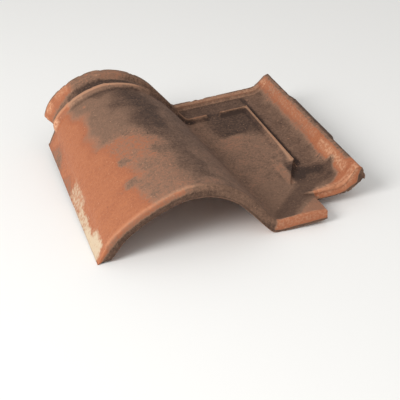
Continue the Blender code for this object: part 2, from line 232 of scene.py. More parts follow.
def tint(name, text, default):
    return FloatVectorProperty(name=name, description=text, default=linear(default)[:3], min=0.0, max=1.0,
                               subtype="COLOR")


class RoofTileSizes(bpy.types.PropertyGroup):
    """Sizes of the pressed tile. A change shows when the tile is pressed again."""

    length: size("Length", "From the nose to the head", 310.0 * MM)
    width: size("Width", "From the barrel's left foot to the flange", 310.0 * MM)
    barrel_rise: size("Barrel rise", "Height of the barrel's crown over the pan's underside", 81.5 * MM)
    pan_top: size("Pan top", "Height of the flat of the pan", 14.8 * MM)
    body_wall: size("Body wall", "Thickness of the barrel", 13.5 * MM)
    nose_wall: size("Nose wall", "Thickness of the barrel along its front edge", 16.6 * MM)
    nose_round: size("Nose round", "Radius of the barrel's front edge", 5.0 * MM)
    edge_round: size("Edge round", "Radius of the pan's edges", 2.6 * MM)
    head_rib: size("Head rib", "Height of the rib along the very end", 5.6 * MM)
    shoulder_rib: size("Shoulder rib", "Height of the rib across the barrel's shoulder", 4.2 * MM)
    groove: size("Groove", "Depth of the groove between the head ribs", 1.4 * MM)
    pan_rib: size("Pan rib", "Height of the L-shaped rib on the pan", 4.3 * MM)
    channel: size("Channel", "Depth of the side channel below the pan", 2.3 * MM)
    lip: size("Lip", "Height of the raised lip at the side part's front", 2.6 * MM)
    nib_drop: size("Nib", "How far the nib reaches down below the pan", 12.0 * MM)


class RoofTileFinish(bpy.types.PropertyGroup):
    """Colours of the fired clay and what lies on it, and how uneven and chipped it is."""

    bare_clay: tint("Bare clay", "Fired clay where no slip is left", "B06D49")
    brick: tint("Brick", "Fired clay under the last trace of slip", "A46242")
    thin_slip: tint("Thin slip", "Clay that shows through a thin slip", "976B53")
    slip: tint("Slip", "The grey-brown slip", "80624F")
    thick_slip: tint("Thick slip", "The slip where it lies thickest", "60483A")
    soot: tint("Soot", "Black-brown soot from the kiln", "3D2D25")
    # The dust colour is also the colour of the painted highlights on edges, crests, rims and the lip
    dust: tint("Dust", "Pale dust on rubbed edges", "E0AC88")
    lime: tint("Lime", "Lime along the left foot", "D2BFA2")
    warp: size("Warp", "How far the drying clay has sunk over a hand's width", 0.9 * MM)
    unevenness: size("Unevenness", "Depth of the shallow dents", 0.45 * MM)
    grain: size("Grain", "Depth of the sandy grain", 0.22 * MM)
    pits: size("Pits", "Depth of the pits", 0.6 * MM)
    chips: size("Chips", "Depth of the chips along the edges", 1.3 * MM)
    seed: IntProperty(name="Seed", description="Another number presses another tile", default=3, min=0)


class RoofTileStudio(bpy.types.PropertyGroup):
    """The plain studio around the tile."""

    floor_tint: tint("Floor", "Colour of the floor", "F8F7F4")
    floor_side: size("Floor side", "Length of the square floor's side", 8.0)
    key_power: FloatProperty(name="Key power", description="Power of the key light", default=36.0, min=0.0,
                             subtype="POWER")
    key_side: size("Key side", "Side of the square key light", 1.0)
    sky: FloatProperty(name="Sky", description="Strength of the white light from all around", default=0.62,
                       min=0.0)


def facing(angle):
    """The direction across and up that leans this far from upright towards the side channel."""
    return np.array((math.sin(angle), math.cos(angle)))


def bulge(start, crown, share, power):
    """A point on the superellipse quarter from start up to the crown, and its shares across and up."""
    angle = 0.5 * math.pi * share
    across = max(math.cos(angle), 0.0) ** (2.0 / power)
    up = math.sin(angle) ** (2.0 / power)
    return np.array((mix(crown[0], start[0], across), mix(start[1], crown[1], up))), across, up


class TileShape:
    """The tile's section and relief, as points in its own frame."""

    def __init__(self, sizes):
        self.sizes = sizes
        self.lines = self.pan_lines()
        self.profile = self.roll_profile()
        self.section = {"skirt": self.skirt, "left": self.left_flank, "right": self.right_arc,
                        "slope": self.slope, "foot": self.foot}

    def crown_x(self, y):
        return mix(CROWN_AT_NOSE, CROWN_AT_HEAD, y / self.sizes.length)

    def nose_share(self, y):
        """1 in the thick band along the nose, 0 in the body."""
        return 1.0 - ease(y, NOSE_BAND, NOSE_FADE)

    def under_level(self, y):
        return mix(self.sizes.pan_top - PAN_WALL, 0.0, self.nose_share(y))

    def barrel_wall(self, y, nose_part):
        return mix(self.sizes.body_wall, self.sizes.nose_wall, self.nose_share(y) * nose_part)

    def skirt(self, share, y):
        """The straight skirt along the left foot: outer point, outward normal and inner point."""
        normal = np.array((-SKIRT_RISE, SKIRT_RUN)) / math.hypot(SKIRT_RUN, SKIRT_RISE)
        bottom = np.array((0.0, LEG_RISE))
        top = bottom + (SKIRT_RUN, SKIRT_RISE)
        inner_top = top - self.barrel_wall(y, 1.0) * normal
        return mix(bottom, top, share), normal, mix(bottom + (LEG_FOOT, 0.0), inner_top, share)

    def left_flank(self, share, y):
        """The barrel's left half, a superellipse quarter from the skirt to the crown."""
        power = mix(ROUNDNESS_AT_NOSE, ROUNDNESS_AT_HEAD, y / self.sizes.length)
        start, normal, inner_start = self.skirt(1.0, y)
        crown = np.array((self.crown_x(y), self.sizes.barrel_rise))
        inner_crown = crown - (0.0, self.barrel_wall(y, 1.0))
        outer, across, up = bulge(start, crown, share, power)
        half_width, height = crown - start
        normal = Vector((-across ** (power - 1.0) / half_width, up ** (power - 1.0) / height)).normalized()
        return outer, np.array(normal), bulge(inner_start, inner_crown, share, power + INNER_ROUNDNESS)[0]

    def right_arc(self, share, y):
        """The barrel's right half, a round arc from the crown to the flank."""
        normal = facing(FLANK_ANGLE * share)
        outer = (self.crown_x(y), self.sizes.barrel_rise - FLANK_RADIUS) + FLANK_RADIUS * normal
        return outer, normal, outer - self.barrel_wall(y, 1.0 - share) * normal

    def slope(self, share, y):
        """The straight stretch between the barrel's right arc and its foot."""
        top, normal, inner_top = self.right_arc(1.0, y)
        low, normal, inner_low = self.foot(0.0, y)
        return mix(top, low, share), normal, mix(inner_top, inner_low, share)

    def foot(self, share, y):
        """The fillet from the flank to the pan, outside and under the barrel."""
        start, lean, inner_start = self.right_arc(1.0, y)
        normal = facing(FLANK_ANGLE * (1.0 - share))
        arcs = []
        for place, level, radius in ((start, self.sizes.pan_top, FOOT_FILLET),
                                     (inner_start, self.under_level(y), INNER_FILLET)):
            along = (place[1] - level + radius * (lean[1] - 1.0)) / lean[0]
            centre_x = place[0] + along * lean[1] + radius * lean[0]
            arcs.append((centre_x, level + radius) - radius * normal)
        return arcs[0], normal, arcs[1]

    def crease_x(self, y):
        """Where the barrel's foot meets the flat of the pan."""
        return self.foot(1.0, y)[0][0]

    def flange_reach(self, y, z):
        """How far the outer face stands back: its middle stretch and the low nub reach the full width."""
        past = 1.0 - ease(y, FLANGE_FROM + FLANGE_LENGTH, FLANGE_RAMP)
        middle = ease(y, FLANGE_FROM, FLANGE_RAMP) * past
        low = 1.0 - ease(z, NUB_TOP - FLANGE_RAMP, FLANGE_RAMP)
        low *= ease(z, FLANGE_UNDER, NUB_ROUND)
        nub = low * (1.0 - ease(y, HEAD_LAP + NUB_LENGTH, FLANGE_RAMP))
        nub *= ease(y, HEAD_LAP - 0.5 * NUB_ROUND, NUB_ROUND)
        return FLANGE_STEP * (1.0 - max(middle, nub))

    def roll_profile(self):
        """The side part from the channel floor over the roll to the flange's lower edge: (x, z) points."""
        width = self.sizes.width
        floor = self.sizes.pan_top - self.sizes.channel
        centre = np.array((width - ROLL_RADIUS, ROLL_TOP - ROLL_RADIUS))
        slope_top = centre + ROLL_RADIUS * facing(-ROLL_SLOPE)
        drop = slope_top[1] - floor - ROLL_COVE * (1.0 - math.cos(ROLL_SLOPE))
        cove_x = slope_top[0] - drop / math.tan(ROLL_SLOPE) - ROLL_COVE * math.sin(ROLL_SLOPE)
        points = []
        for step in range(COVE_STEPS + 1):
            points.append((cove_x, floor + ROLL_COVE) - ROLL_COVE * facing(-ROLL_SLOPE * step / COVE_STEPS))
        for step in range(ROLL_STEPS + 1):
            points.append(centre + ROLL_RADIUS * facing(mix(-ROLL_SLOPE, 0.5 * math.pi, step / ROLL_STEPS)))
        lowest = FLANGE_UNDER + self.sizes.edge_round
        return points + [(width, mix(centre[1], lowest, 0.5)), (width, lowest)]

    def hook_under(self, x, y):
        """The underside of the side part: flat, then up under the flange."""
        hooked = ease(x, self.sizes.width - FLANGE_HOOK, FLANGE_HOOK_RUN)
        return mix(self.under_level(y), FLANGE_UNDER, hooked)

    def pan_lines(self):
        """The x of each line across the pan, from the barrel's foot to the channel, by name.

        A line that marks no edge lies at a share of the way between its neighbours.
        """
        rib = self.sizes.width - RIB_INSET
        gap = rib - RIB_GAP_AT
        nib = rib - NIB_FROM_RIB
        wedge = rib - WEDGE_RUN
        notch = self.sizes.width - NOTCH_WIDTH
        half_gap = 0.5 * RIB_GAP
        half_rib = 0.5 * RIB_TOP
        cove = self.sizes.width - ROLL_RADIUS
        return {
            "nib left foot": nib - NIB_WIDTH - NIB_TAPER, "nib left": nib - NIB_WIDTH,
            "nib left inside": nib - NIB_WIDTH + NIB_EDGE,
            "pan left": mix(nib - NIB_WIDTH, gap - half_gap, 0.55),
            "gap left foot": gap - half_gap - RIB_GAP_FLANK, "gap left": gap - half_gap, "gap middle": gap,
            "gap right": gap + half_gap, "gap right foot": gap + half_gap + RIB_GAP_FLANK,
            "nib right inside": nib - NIB_EDGE, "nib right": nib, "nib right foot": nib + NIB_TAPER,
            "wedge foot": wedge - 0.5 * WEDGE_FACE, "wedge top": wedge + 0.5 * WEDGE_FACE,
            "wedge near": mix(wedge, rib, 0.3), "wedge far": mix(wedge, rib, 0.52),
            "notch side": notch - LAP_EDGE, "notch": notch,
            "rib left": rib - half_rib, "rib crest": rib, "rib right": rib + half_rib,
            "rib foot": rib + half_rib + RIB_FLANK,
            "channel near": mix(rib, cove, 0.22), "channel far": mix(rib, cove, 0.34),
        }


def row(barrel_y, pan_y=None, side_y=None, shared=False, **relief):
    """One row of the cage: its y on the barrel, the pan and the side part, and the relief that it carries."""
    pan_y = barrel_y if pan_y is None else pan_y
    side_y = pan_y if side_y is None else side_y
    fields = dict(barrel_y=barrel_y, pan_y=pan_y, side_y=side_y, barrel=0.0, pan=0.0, side=0.0, lip=0.0,
                  head_rib=0.0, side_rib=0.0, wedge=0.0, nib=0.0, outside=0.0, level=0.0,
                  shared=1.0 if shared else 0.0)
    fields.update(relief)
    return fields


def nose_rows(sizes):
    """The round front edge, the thick band behind it, and the front of the side part with its raised lip."""
    turn = ARC_MIDDLE * sizes.nose_round
    edge = ARC_MIDDLE * sizes.edge_round
    return [
        (row(0.0, barrel=-sizes.nose_round, pan=-sizes.edge_round, shared=True), 1),
        (row(turn, edge, barrel=-turn, pan=-edge), 1),
        (row(sizes.nose_round, sizes.edge_round, shared=True), 2),
        (row(NOSE_BAND, shared=True), 3),
        (row(HEAD_LAP, lip=-sizes.edge_round, shared=True), 1),
        (row(HEAD_LAP + edge, lip=-edge), 1),
        (row(HEAD_LAP + LIP_CREST, lip=sizes.lip), 2),
        (row(HEAD_LAP + LIP_RUN, shared=True), 3),
    ]


def body_rows():
    """The slanting front of the wedge and the side rib, and the plain stretch up to the shoulder."""
    return [
        (row(CUT_NEAR, CUT_NEAR, CUT_FAR, shared=True), 1),
        (row(CUT_NEAR + CUT_RUN, CUT_NEAR + CUT_RUN, CUT_FAR + CUT_RUN, side_rib=1.0, wedge=1.0), 13),
        (row(CUT_FAR + WEDGE_LENGTH, side_rib=1.0, shared=True), 10),
    ]


def shoulder_rows(sizes):
    """The rib across the barrel's shoulder, level with the L-shaped rib's branch on the pan."""
    back = sizes.length - HEAD_LAP
    front = back - SHOULDER_RIB_WIDTH
    crest_back = mix(front, back, 0.5) + 0.5 * SHOULDER_RIB_CREST
    branch = sizes.length - RIB_FROM_HEAD
    half = 0.5 * RIB_TOP
    rib = dict(barrel=sizes.shoulder_rib, head_rib=1.0, side_rib=1.0)
    return [
        (row(front, branch - half - RIB_FLANK, side_rib=1.0, shared=True), 1),
        (row(crest_back - SHOULDER_RIB_CREST, branch - half, **rib), 2),
        (row(crest_back, branch + half, **rib), 1),
    ]


def groove_rows(sizes):
    """The groove on the barrel between the two head ribs, over the nib that is under the pan."""
    start = sizes.length - HEAD_LAP
    end = sizes.length - HEAD_RIB_FOOT
    front = sizes.length - NIB_FROM_HEAD
    back = front + NIB_DEPTH
    branch_back = sizes.length - RIB_FROM_HEAD + 0.5 * RIB_TOP + RIB_FLANK
    pan_ys = [branch_back, front - NIB_TAPER, front, front + NIB_EDGE, back - NIB_EDGE, back,
              back + NIB_TAPER]
    found = []
    for index, pan_y in enumerate(pan_ys):
        nib = 1.0 if front <= pan_y <= back else 0.0
        y = mix(start, end, index / len(pan_ys))
        found.append((row(y, pan_y, barrel=-sizes.groove, outside=1.0, nib=nib, shared=True), 1))
    return found


def head_rows(sizes):
    """The rib along the very end, low on the pan and high on the barrel, with its round edge."""
    foot_y = sizes.length - HEAD_RIB_FOOT
    pan_foot_y = sizes.length - PAN_RIB_FOOT
    crest_y = sizes.length - HEAD_RIB_CREST
    heights = dict(barrel=sizes.head_rib, pan=PAN_RIB_HEIGHT, side=PAN_RIB_HEIGHT)
    full = dict(heights, level=1.0)
    knee = {name: RIB_KNEE_HEIGHT * height for name, height in full.items()}
    end = dict({name: height - HEAD_ROUND for name, height in heights.items()}, level=1.0)
    return [
        (row(foot_y, pan_foot_y, barrel=-0.5 * sizes.groove, outside=1.0), 2),
        (row(mix(foot_y, crest_y, RIB_KNEE_AT), mix(pan_foot_y, crest_y, RIB_KNEE_AT), **knee), 2),
        (row(crest_y, shared=True, **full), 1),
        (row(sizes.length - HEAD_ROUND, **full), 1),
        (row(sizes.length, shared=True, **end), 1),
    ]


def cage_rows(sizes):
    """The rows from nose to head. On a long stretch the underside shares every third row."""
    anchors = nose_rows(sizes) + body_rows() + shoulder_rows(sizes) + groove_rows(sizes) + head_rows(sizes)
    found = []
    for (here, steps), (after, unused) in zip(anchors, anchors[1:]):
        found.append(dict(here))
        for step in range(1, steps):
            between = {name: mix(here[name], after[name], step / steps) for name in here}
            between["shared"] = 1.0 if step % SHARED_EVERY == 0 and steps - step > 1 else 0.0
            found.append(between)
    return found + [dict(anchors[-1][0])]


def cage_columns(shape):
    """The columns from the left foot to the flange: (kind, place in that kind, shared with the underside)."""
    found = [("skirt", share, share in (0.0, 1.0)) for share in SKIRT_SHARES]
    found += [("left", step / FLANK_STEPS, step % 2 == 0) for step in range(1, FLANK_STEPS + 1)]
    found += [("right", step / ARC_STEPS, step % 2 == 0) for step in range(1, ARC_STEPS + 1)]
    found += [("slope", share, False) for share in SLOPE_SHARES]
    found += [("foot", step / FOOT_STEPS, step % 2 == 0) for step in range(FOOT_STEPS + 1)]
    found += [("pan", name, name in SHARED_LINES) for name in shape.lines]
    last = len(shape.profile) - 1
    found += [("roll", index, index % SHARED_EVERY == 0 or index == last) for index in range(last + 1)]
    return found


def pan_share(kind, value):
    """How much of a column on the barrel follows the pan's rows."""
    if kind == "right":
        return RIB_BLEND * math.sqrt(value)
    if kind == "slope":
        return RIB_BLEND
    if kind == "foot":
        return mix(RIB_BLEND, 1.0, value)
    return 0.0


def barrel_point(shape, kind, value, here):
    """The top point, the underside point and the relief of one column of the barrel in one row."""
    sizes = shape.sizes
    pan = pan_share(kind, value)
    y = mix(here["barrel_y"], here["pan_y"], pan)
    outer, normal, inner = shape.section[kind](value, y)
    pan_height = here["pan"] + here["head_rib"] * sizes.pan_rib - here["outside"] * sizes.channel
    height = mix(here["barrel"], pan_height, pan)
    if kind == "left":
        height *= mix(1.0, ease(value, 0.0, SHOULDER_FADE), here["head_rib"])
    if kind == "skirt":
        rounded = here["barrel_y"] <= sizes.nose_round or here["barrel_y"] > sizes.length - HEAD_LAP
        height = SKIRT_ROUND * value * height if rounded else 0.0
    outer = outer + height * normal
    return (outer[0], y, outer[1]), (inner[0], y, inner[1]), height


def pan_point(shape, name, here):
    """The same for one line of the pan. Before the branch rib the barrel's foot pushes the lines together."""
    sizes = shape.sizes
    line = shape.lines[name]
    wedge_x = sizes.width - RIB_INSET - WEDGE_RUN
    side = clamp((line - wedge_x) / WEDGE_RUN)
    y = mix(here["pan_y"], here["side_y"], side)
    crease = shape.crease_x(sizes.length - RIB_FROM_HEAD - RIB_TOP - RIB_FLANK)
    held = shape.lines["wedge foot"]
    x = line + max(shape.crease_x(y) - crease, 0.0) * clamp((held - line) / (held - crease))
    side_x = clamp((x - wedge_x) / WEDGE_RUN)
    on_rib = name in ("rib left", "rib crest", "rib right")
    past_rib = name in ("rib foot", "channel near", "channel far")
    in_gap = name in ("gap left", "gap middle", "gap right")
    head_rib = 0.0 if in_gap or past_rib else here["head_rib"] * sizes.pan_rib
    side_rib = here["side_rib"] * sizes.pan_rib if on_rib else 0.0
    on_wedge = name in ("wedge top", "wedge near", "wedge far", "notch side", "notch")
    wedge = here["wedge"] * mix(WEDGE_STEP, sizes.pan_rib, side_x) if on_wedge else 0.0
    sunk = 0.0
    if past_rib:
        sunk = sizes.channel
    elif side_rib == 0.0:
        sunk = max(here["outside"], side_x) * (1.0 - here["side_rib"]) * sizes.channel
    relief = max(head_rib, side_rib, wedge) - sunk * (1.0 - here["level"])
    edge = mix(here["pan"], here["side"], side) + side * here["lip"]
    drop = 0.0
    if shape.lines["nib left"] <= line <= shape.lines["nib right"]:
        drop = here["nib"] * sizes.nib_drop
    return (x, y, sizes.pan_top + relief + edge), (x, y, shape.under_level(y) - drop), relief + edge


def roll_point(shape, index, here):
    """The same for one point of the side part's section. Its underside points are spread evenly."""
    sizes = shape.sizes
    x, z = shape.profile[index]
    y = here["side_y"]
    crest = sizes.width - ROLL_RADIUS
    narrowed = 1.0 - shape.flange_reach(y, z) / ROLL_RADIUS
    if x > crest:
        x = mix(crest, x, narrowed)
    low = 1.0 - ease(z, sizes.pan_top, ROLL_TOP - sizes.pan_top)
    relief = low * (here["side"] + here["level"] * sizes.channel)
    relief += mix(ROLL_EDGE_ROUND * min(here["lip"], 0.0), here["lip"], low)
    if x >= crest and z < ROLL_TOP - ROLL_RADIUS:
        relief = 0.0
    edge = mix(crest, sizes.width, narrowed) - sizes.edge_round
    under_x = mix(shape.profile[0][0], edge, index / (len(shape.profile) - 1))
    return (x, y, z + relief), (under_x, y, shape.hook_under(under_x, y)), relief


def cage_point(shape, kind, value, here):
    if kind == "pan":
        return pan_point(shape, value, here)
    if kind == "roll":
        return roll_point(shape, value, here)
    return barrel_point(shape, kind, value, here)


def fitted(goal):
    """Push a cage out from the points that its smooth surface should run through.

    At a cage point the smooth surface is a sixth, four sixths and a sixth of the points along each line.
    """
    goal = np.array(goal)
    cage = goal.copy()
    for unused in range(FIT_PASSES):
        surface = cage.copy()
        surface[1:-1] = (surface[:-2] + 4.0 * surface[1:-1] + surface[2:]) / 6.0
        surface[:, 1:-1] = (surface[:, :-2] + 4.0 * surface[:, 1:-1] + surface[:, 2:]) / 6.0
        cage += goal - surface
    return cage


class Cage:
    """The coarse mesh that the subdivision rounds. Its underside keeps only the shared rows and columns."""

    def __init__(self, sizes):
        self.shape = TileShape(sizes)
        self.columns = cage_columns(self.shape)
        self.rows = cage_rows(sizes)
        points = [[cage_point(self.shape, kind, value, here) for kind, value, shared in self.columns]
                  for here in self.rows]
        self.relief = [[point[2] for point in line] for line in points]
        self.under = [[Vector(point[1]) for point in line] for line in points]
        self.top = [[Vector(point[0]) for point in line] for line in points]
        self.flat = self.flat_lengths()
        self.seat_points = self.found_seat_points()
        smooth = fitted([[point[0] for point in line] for line in points])
        self.top = [[Vector(point) for point in line] for line in smooth]
        self.mesh = bmesh.new()
        self.laid_flat = self.mesh.verts.layers.float_vector.new("laid_flat")
        self.raised = self.mesh.verts.layers.float.new("raised")
        self.made = {}
        self.add_faces()

    def flat_lengths(self):
        """How far each column is from the left foot, along the surface across the middle of the tile."""
        middle = min(range(len(self.rows)), key=lambda i: abs(self.rows[i]["pan_y"] - FLAT_ROW))
        line = self.top[middle]
        lengths = [0.0]
        for a, b in zip(line, line[1:]):
            lengths.append(lengths[-1] + math.hypot(b.x - a.x, b.z - a.z))
        return lengths

    def corner(self, height, i, j):
        """The cage point over one place of the grid: height 1 is the top, 0 the underside."""
        if (height, i, j) not in self.made:
            point = self.under[i][j].lerp(self.top[i][j], height)
            vertex = self.mesh.verts.new(point)
            vertex[self.laid_flat] = (self.flat[j], point.y, height)
            vertex[self.raised] = self.relief[i][j] * height
            self.made[height, i, j] = vertex
        return self.made[height, i, j]

    def is_clay(self, i, j):
        """Whether the cell between the rows i and i + 1 is clay: the two lap corners are cut out."""
        if not (0 <= i < len(self.rows) - 1 and 0 <= j < len(self.columns) - 1):
            return False
        notch = self.columns.index(("pan", "notch", True))
        leg = self.columns.index(("skirt", 1.0, True))
        in_notch = j >= notch and self.rows[i + 1]["side_y"] <= HEAD_LAP
        over_leg = j < leg and self.rows[i]["barrel_y"] >= self.shape.sizes.length - HEAD_LAP
        return not (in_notch or over_leg)

    def add_face(self, places):
        self.mesh.faces.new([self.corner(*place) for place in places])

    def add_wall(self, run):
        """The outer wall along one side of a coarse cell: fine quads, one many-sided face, a coarse quad."""
        for a, b in zip(run, run[1:]):
            self.add_face([(WALL_HIGH, *a), (WALL_HIGH, *b), (1.0, *b), (1.0, *a)])
        start, end = run[0], run[-1]
        upper = [(WALL_HIGH, *place) for place in reversed(run)]
        self.add_face([(WALL_LOW, *start), (WALL_LOW, *end)] + upper)
        self.add_face([(0.0, *start), (0.0, *end), (WALL_LOW, *end), (WALL_LOW, *start)])

    def add_faces(self):
        coarse_rows = [i for i, here in enumerate(self.rows) if here["shared"] > 0.5]
        coarse_columns = [j for j, (kind, value, shared) in enumerate(self.columns) if shared]
        for i, after_i in zip(coarse_rows, coarse_rows[1:]):
            for j, after_j in zip(coarse_columns, coarse_columns[1:]):
                if self.is_clay(i, j):
                    self.add_cell(i, after_i, j, after_j)

    def add_cell(self, i, after_i, j, after_j):
        """One coarse cell: its fine top, its underside, and a wall wherever the clay ends."""
        for a in range(i, after_i):
            for b in range(j, after_j):
                self.add_face([(1.0, a, b), (1.0, a, b + 1), (1.0, a + 1, b + 1), (1.0, a + 1, b)])
        self.add_face([(0.0, i, j), (0.0, after_i, j), (0.0, after_i, after_j), (0.0, i, after_j)])
        sides = (((i - 1, j), [(i, b) for b in range(j, after_j + 1)]),
                 ((i, after_j), [(a, after_j) for a in range(i, after_i + 1)]),
                 ((after_i, j), [(after_i, b) for b in range(after_j, j - 1, -1)]),
                 ((i, j - 1), [(a, j) for a in range(after_i, i - 1, -1)]))
        for beyond, run in sides:
            if not self.is_clay(*beyond):
                self.add_wall(run)

    def found_seat_points(self):
        """The points among which the tile finds its feet: left nose corner, the barrel's foot, the nib."""
        foot = [j for j, (kind, value, shared) in enumerate(self.columns) if kind == "foot"]
        nib = [j for j, (kind, value, shared) in enumerate(self.columns)
               if kind == "pan" and value.startswith("nib")]
        nib_points = [self.under[i][j] for i, here in enumerate(self.rows) if here["nib"] > 0.5 for j in nib]
        return [[self.top[0][0]], [self.under[0][j] for j in foot], nib_points]

    def seat(self):
        """The turn and shift that lay the tile on its three feet, with the origin below its middle."""
        up = Vector((0.0, 0.0, 1.0))
        for unused in range(SEATING_PASSES):
            a, b, c = [min(group, key=lambda point: point.dot(up)) for group in self.seat_points]
            up = (b - a).cross(c - a).normalized()
        turn = up.rotation_difference(Vector((0.0, 0.0, 1.0))).to_matrix().to_4x4()
        placed = np.array([turn @ vertex.co for vertex in self.mesh.verts])
        low, high = placed.min(axis=0), placed.max(axis=0)
        middle = Vector((mix(low[0], high[0], 0.5), mix(low[1], high[1], 0.5), low[2]))
        return Matrix.Translation(-middle) @ turn


# The setting that says what a node does, for the kinds that take it as their mode
MODES = {"Math": "operation", "VectorMath": "operation", "MapRange": "interpolation_type", "Mix": "data_type",
         "GeometryNodeStoreNamedAttribute": "data_type", "GeometryNodeBlurAttribute": "data_type"}


def add_node(tree, kind, inputs=(), mode=None, ramp=(), **settings):
    """Add a node with its mode and settings, and set or link its inputs, given in their order or by name.

    A kind without a prefix is one of the nodes that Blender calls shader nodes, also in a geometry tree.
    """
    node = tree.nodes.new(kind if "Node" in kind else "ShaderNode" + kind)
    if mode:
        settings[MODES[kind]] = mode
    for name, value in settings.items():
        setattr(node, name, value)
    sockets = [socket for socket in node.inputs if socket.enabled]
    if isinstance(inputs, dict):
        names = [socket.name for socket in sockets]
        pairs = [(sockets[names.index(name)], value) for name, value in inputs.items()]
    else:
        pairs = list(zip(sockets, inputs))
    for socket, value in pairs:
        if isinstance(value, bpy.types.Node):
            value = next(output for output in value.outputs if output.enabled)
        if isinstance(value, bpy.types.NodeSocket):
            tree.links.new(value, socket)
        elif value is not None:
            socket.default_value = value
    if ramp:
        stops = node.color_ramp.elements
        while len(stops) < len(ramp):
            stops.new(1.0)
        for stop, (place, value) in zip(stops, ramp):
            stop.position = place
            stop.color = value
    return node


def pressed_clay_tree(material):
    """Subdivides the cage and presses the clay's unevenness, pits and chips into it, always inwards."""
    tree = bpy.data.node_groups.new("pressed clay", "GeometryNodeTree")
    add = partial(add_node, tree)
    tree.interface.new_socket("Geometry", in_out="INPUT", socket_type="NodeSocketGeometry")
    tree.interface.new_socket("Geometry", in_out="OUTPUT", socket_type="NodeSocketGeometry")
    for name in CLAY_DEPTHS:
        tree.interface.new_socket(name, in_out="INPUT", socket_type="NodeSocketFloat").subtype = "DISTANCE"
    tree.interface.new_socket("Seed", in_out="INPUT", socket_type="NodeSocketFloat")
    group = add("NodeGroupInput").outputs
    smooth = add("GeometryNodeSubdivisionSurface", {"Mesh": group["Geometry"], "Level": SUBDIVISIONS})
    place = add("GeometryNodeInputPosition")
    normal = add("GeometryNodeInputNormal")
    blurred = add("GeometryNodeBlurAttribute", {"Value": place, "Iterations": BLUR_STEPS, "Weight": 1.0},
                  "FLOAT_VECTOR")
    hollow = add("VectorMath", (place, blurred), "SUBTRACT")
    proud = add("VectorMath", (hollow, normal), "DOT_PRODUCT").outputs["Value"]

    # Chips break the edges that stand proud, and pits lie here and there where stones burst or fell out
    seeded = {"Vector": place, "W": group["Seed"]}
    flaws = add("TexNoise", {**seeded, "Scale": per_mm(CHIP_SPACING), "Detail": 2.0}, noise_dimensions="4D")
    loose = add("MapRange", (flaws, *LOOSE_CLAY), "SMOOTHSTEP")
    exposed = add("MapRange", (proud, *EXPOSED_EDGE))
    chips = add("Math", (loose, exposed), "MULTIPLY")
    cells = add("TexVoronoi", {**seeded, "Scale": per_mm(PIT_SPACING)}, voronoi_dimensions="4D")
    pits = add("MapRange", (cells.outputs["Distance"], *PIT_SIZE), "SMOOTHSTEP")
    broken = add("Math", (chips, pits), "MAXIMUM")

    # The material reads these: the place before the clay is pressed, how proud it stands and where it broke
    for name, value, kind in (("tile_place", place, "FLOAT_VECTOR"), ("proud", proud, "FLOAT"),
                              ("broken", broken, "FLOAT")):
        smooth = add("GeometryNodeStoreNamedAttribute", {"Geometry": smooth, "Name": name, "Value": value},
                     kind, domain="POINT")

    total = add("Math", (chips, group["Chip Depth"]), "MULTIPLY")
    total = add("Math", (pits, group["Pit Depth"], total), "MULTIPLY_ADD")
    for name, width, detail in CLAY_MARKS:
        noise = add("TexNoise", {**seeded, "Scale": per_mm(width), "Detail": detail}, noise_dimensions="4D")
        total = add("Math", (noise, group[name], total), "MULTIPLY_ADD")
    inward = add("Math", (total, -1.0), "MULTIPLY")
    offset = add("VectorMath", {"Vector": normal, "Scale": inward}, "SCALE")
    moved = add("GeometryNodeSetPosition", {"Geometry": smooth, "Offset": offset})
    shaded = add("GeometryNodeSetShadeSmooth", {"Geometry": moved, "Shade Smooth": True})
    real = add("GeometryNodeRealizeInstances", {"Geometry": shaded})
    painted_clay = add("GeometryNodeSetMaterial", {"Geometry": real, "Material": material})
    add("NodeGroupOutput", {"Geometry": painted_clay})
    return tree


def per_mm(size):
    """The scale of a pattern whose marks are this many millimetres across."""
    return 1.0 / (size * MM)


def painted(tree, place, value, patches):
    """Paint patches over a value, in order: each patch has its limits across and along, its soft edge, all in
    millimetres, and its own value."""
    add = partial(add_node, tree)
    for left, right, near, far, soft, own in patches:
        centre = (mix(left, right, 0.5) * MM, mix(near, far, 0.5) * MM, 0.0)
        half = (0.5 * (right - left) * MM, 0.5 * (far - near) * MM, 0.0)
        away = place
        for mode, other in (("SUBTRACT", centre), ("ABSOLUTE", None), ("SUBTRACT", half),
                            ("MAXIMUM", (0.0, 0.0, 0.0)), ("LENGTH", None)):
            away = add("VectorMath", (away, other), mode)
        cover = add("MapRange", (away, 0.0, soft * MM, 1.0, 0.0), "SMOOTHSTEP")
        value = add("Mix", (cover, value, own), "FLOAT")
    return value


# Patches: from and to across, from and to along, the soft edge, all in millimetres, and the patch's value.
# These say how dark the clay is, from 0, bare orange, to 1, black-brown: mostly how thickly the slip and the
# soot lie on the orange clay, and where a note says so, painted shade or a painted highlight
BARREL_COVER = (
    (84, 112, 150, 262, 20, 0.57),
    (80, 118, 0, 140, 22, 0.49),
    (132, 146, 135, 250, 29, 0.84),
    (136, 150, 20, 130, 24, 0.70),
    (168, 230, 100, 262, 20, 0.65),
    (168, 230, 0, 100, 22, 0.60),
    (58, 92, 104, 138, 16, 0.26),
    (86, 108, 88, 126, 14, 0.36),
    (60, 215, 0, 6, 14, 0.50),
    # Darker just in front of the shoulder rib
    (95, 150, 248, 256, 8, 0.72),
    (10, 49, 0, 268, 26, 0.07),
    (10, 58, 0, 122, 28, 0.07),
    (-10, 2, 205, 275, 18, 0.50),
    (-10, 0, 140, 180, 12, 0.36),
    (240, 410, 0, 330, 12, 0.58),
    (272, 302, 208, 246, 30, 0.85),
    (252, 268, 168, 186, 16, 0.50),
    (318, 336, 66, 300, 16, 0.67),
    (304, 328, 66, 90, 24, 0.97),
)
